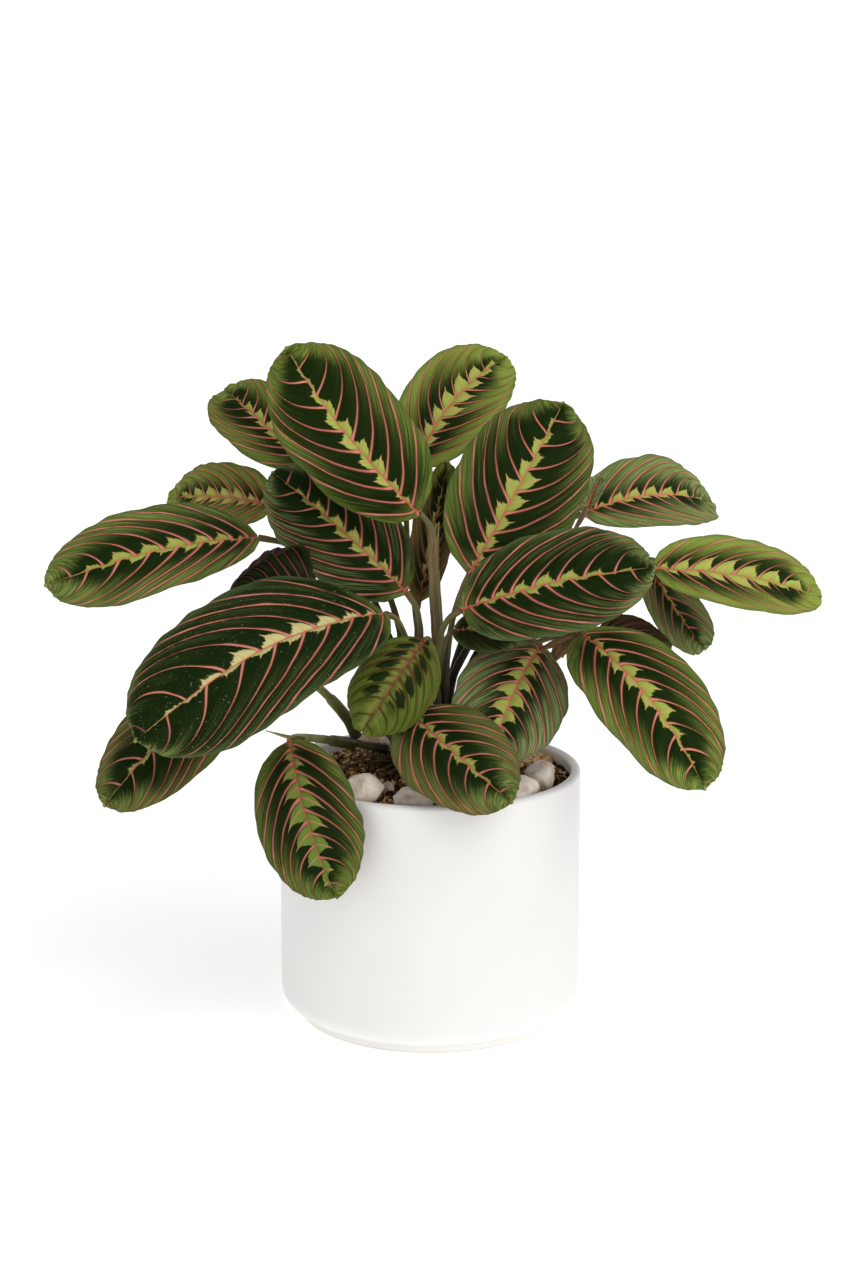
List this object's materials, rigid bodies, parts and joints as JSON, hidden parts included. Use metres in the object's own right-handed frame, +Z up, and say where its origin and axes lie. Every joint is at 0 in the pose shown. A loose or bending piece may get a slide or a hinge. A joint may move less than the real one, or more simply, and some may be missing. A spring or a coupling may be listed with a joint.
{
  "type": "potted prayer plant",
  "caption": "Bushy red-veined prayer plant with oval patterned leaves on thin stalks, growing from pebble-topped soil in a plain white cylindrical ceramic pot.",
  "frame": {"origin": "centre of the pot's flat underside", "axes": "+Z up, -Y towards the front of the plant, +X to its right seen from the front"},
  "size_m": [0.3576, 0.2088, 0.3129],
  "materials": {
    "ceramic": "satin",
    "soil": "matte",
    "rhizome": "matte",
    "stone": "satin",
    "leaf": "satin",
    "young_leaf": "satin",
    "stalk": "satin"
  },
  "bodies": {
    "root": {"pot": "ceramic", "soil": "soil", "crown": "rhizome", "side_shoot": "rhizome", "rolled_sheath": "stalk", "pebble_1": "stone", "pebble_2": "stone", "pebble_3": "stone", "pebble_4": "stone", "pebble_5": "stone", "pebble_6": "stone", "pebble_7": "stone", "pebble_8": "stone", "pebble_9": "stone", "leaf_top_left": "leaf", "leaf_upper_left_back": "leaf", "leaf_top_young": "young_leaf", "leaf_top_right": "leaf", "leaf_left_back": "leaf", "leaf_far_left": "leaf", "leaf_middle_left": "leaf", "leaf_curled_left": "leaf", "leaf_front_left_large": "leaf", "leaf_lower_left": "leaf", "leaf_centre_young": "young_leaf", "leaf_front_centre": "leaf", "leaf_front_right": "leaf", "leaf_middle_right": "leaf", "leaf_lower_right": "leaf", "leaf_far_right_young": "young_leaf", "leaf_upper_right_back": "leaf", "leaf_right_folded": "leaf", "leaf_small_curled": "young_leaf", "leaf_front_left_hanging": "leaf", "leaf_middle_back": "leaf", "leaf_inner_small": "leaf", "leaf_right_back_low": "leaf", "stalk_top_left": "stalk", "stalk_upper_left_back": "stalk", "stalk_top_young": "stalk", "stalk_top_right": "stalk", "stalk_left_back": "stalk", "stalk_far_left": "stalk", "stalk_middle_left": "stalk", "stalk_curled_left": "stalk", "stalk_front_left_large": "stalk", "stalk_lower_left": "stalk", "stalk_centre_young": "stalk", "stalk_front_centre": "stalk", "stalk_front_right": "stalk", "stalk_middle_right": "stalk", "stalk_lower_right": "stalk", "stalk_far_right_young": "stalk", "stalk_upper_right_back": "stalk", "stalk_right_folded": "stalk", "stalk_small_curled": "stalk", "stalk_front_left_hanging": "stalk", "stalk_middle_back": "stalk", "stalk_inner_small": "stalk", "stalk_right_back_low": "stalk"}
  },
  "joints": []
}
